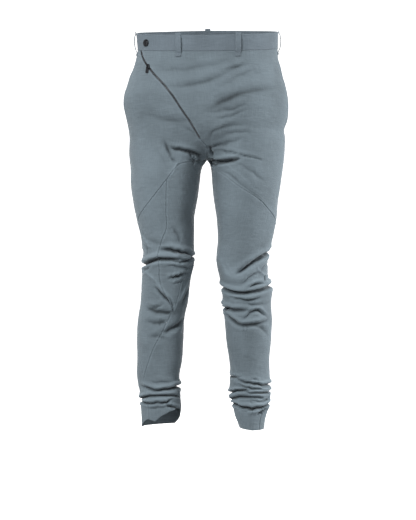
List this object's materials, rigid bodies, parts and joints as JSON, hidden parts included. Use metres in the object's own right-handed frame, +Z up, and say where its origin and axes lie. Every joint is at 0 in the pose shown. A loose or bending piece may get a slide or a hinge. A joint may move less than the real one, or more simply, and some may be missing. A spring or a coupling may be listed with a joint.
{
  "type": "skinny trousers",
  "caption": "Slim worn trousers, hollow and open at waist and hems, with a slanted zip, overlapping waistband with press stud, belt loops, side pockets and gathered legs.",
  "frame": {"origin": "centre of the waist opening, level with the waistband's top edge at the sides, where the wearer holds the trousers up", "axes": "+Z up, -Y the front, +X the side away from the button; the half at -X holds the slanted zip"},
  "size_m": [0.3782, 0.2458, 0.9307],
  "materials": {
    "cloth": "blue-grey stretch twill with a faint sheen",
    "band": "blue-grey stretch twill, doubled and pressed",
    "tape": "dark woven zip tape",
    "metal": "dark gunmetal, satin"
  },
  "bodies": {
    "pants": {"front_left_upper": "cloth", "front_right_apron": "cloth", "left_inner_thigh": "cloth", "left_outer_knee": "cloth", "left_shin": "cloth", "right_leg_front": "cloth", "back_left": "cloth", "back_right": "cloth", "pocket_facing_left": "cloth", "pocket_facing_right": "cloth", "waistband_front": "band", "waistband_back": "band", "belt_loop_side_left": "band", "belt_loop_front_left": "band", "belt_loop_front_right": "band", "belt_loop_side_right": "band", "belt_loop_back": "band", "zip_tape_left": "tape", "zip_tape_right": "tape", "waist_button": "metal", "zip_slider": "metal"},
    "pull": {"zip_pull": "metal"}
  },
  "joints": [
    {"name": "zip_pull_swing", "type": "hinge", "parent": "pants", "child": "pull", "pos_m": [-0.13661, -0.07683, -0.08025], "axis": [-0.8166, 0.5771, 0], "range_deg": [0, 150]}
  ]
}
